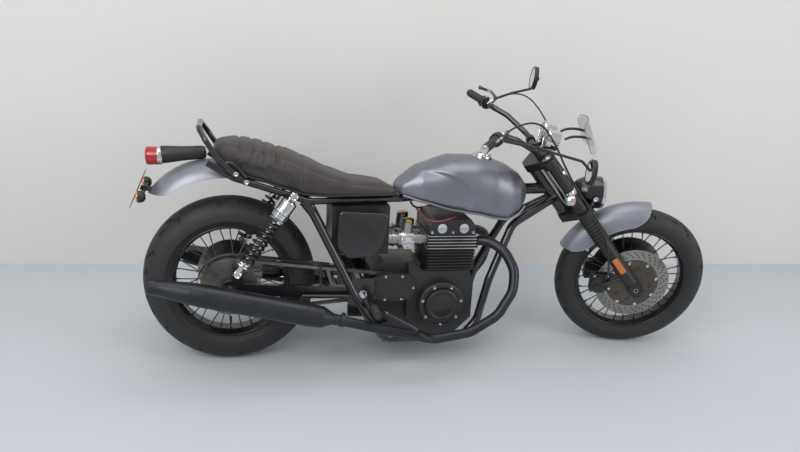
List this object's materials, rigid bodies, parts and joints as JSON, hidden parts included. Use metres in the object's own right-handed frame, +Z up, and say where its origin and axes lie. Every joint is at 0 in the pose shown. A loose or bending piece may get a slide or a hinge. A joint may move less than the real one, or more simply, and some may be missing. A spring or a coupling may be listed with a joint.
{
  "type": "low retro twin motorcycle",
  "caption": "Low, long retro roadster motorcycle with a raked fork, stepped leather saddle, finned twin engine and low mufflers, parked on its side stand.",
  "frame": {"origin": "the spot where the rear tyre touches the ground", "axes": "+X forward, +Y to the rider's left, +Z up from the ground"},
  "size_m": [2.2874, 0.7851, 1.0716],
  "materials": {
    "tyre": "matt black, slightly dusty",
    "wheel_black": "satin black rims and hubs",
    "disc_steel": "brushed, brownish carrier",
    "chain_steel": "dark oiled steel",
    "axle_steel": "bright steel",
    "fork_black": "satin black",
    "gaiter_rubber": "matt black",
    "frame_black": "satin black",
    "fender_grey": "matt graphite grey",
    "tank_grey": "matt graphite grey with a dark knee pad",
    "engine_black": "satin black, bright fin edges",
    "alloy": "polished",
    "chrome": "polished",
    "exhaust_dark": "matt blue black",
    "seat_leather": "dark brown, stitched",
    "black_plastic": "matt black",
    "tail_red": "red lens",
    "plate_white": "blank plate",
    "screen_smoke": "smoked"
  },
  "bodies": {
    "frame": {"frame_tubes": "frame_black", "swingarm": "frame_black", "rear_axle": "axle_steel", "shocks": "chrome", "crankcase": "engine_black", "cylinders": "engine_black", "cam_cover": "engine_black", "engine_covers": "engine_black", "throttle_bodies": "alloy", "airbox": "black_plastic", "exhaust_right": "exhaust_dark", "exhaust_left": "exhaust_dark", "foot_controls_right": "frame_black", "foot_controls_left": "frame_black", "chain": "chain_steel", "chain_guard": "black_plastic", "tank": "tank_grey", "seat": "seat_leather", "side_covers": "black_plastic", "rear_fender": "fender_grey", "grab_rail": "frame_black", "tail_light": "tail_red", "plate_bracket": "plate_white"},
    "steering": {"front_axle": "axle_steel", "fork_legs": "fork_black", "gaiters": "gaiter_rubber", "fork_clamps": "fork_black", "front_fender": "fender_grey", "calipers": "fork_black", "front_indicators": "chrome", "handlebar": "frame_black", "grips": "gaiter_rubber", "controls": "black_plastic", "mirrors": "black_plastic", "headlight": "frame_black", "gauges": "chrome", "fly_screen": "screen_smoke"},
    "front_wheel": {"front_tyre": "tyre", "front_wheel_rim": "wheel_black", "front_discs": "disc_steel"},
    "rear_wheel": {"rear_tyre": "tyre", "rear_wheel_rim": "wheel_black", "rear_sprocket": "chain_steel", "rear_disc": "disc_steel"},
    "side_stand": {"side_stand": "frame_black"}
  },
  "joints": [
    {"name": "steering_turn", "type": "hinge", "parent": "frame", "child": "steering", "pos_m": [1.59408, 0.02738, 0.2668], "axis": [-0.6434, 0.1065, 0.7581], "range_deg": [-20, 50]},
    {"name": "front_wheel_spin", "type": "hinge", "parent": "steering", "child": "front_wheel", "pos_m": [1.63845, 0.01719, 0.30588], "axis": [0.1981, 0.9797, 0.0305], "continuous": true},
    {"name": "rear_wheel_spin", "type": "hinge", "parent": "frame", "child": "rear_wheel", "pos_m": [0, 0.03465, 0.31858], "axis": [0, 0.9903, -0.1392], "continuous": true},
    {"name": "side_stand_fold", "type": "hinge", "parent": "frame", "child": "side_stand", "pos_m": [0.64017, 0.13833, 0.09347], "axis": [0.0264, 0.402, 0.9153], "range_deg": [0, 105]}
  ]
}
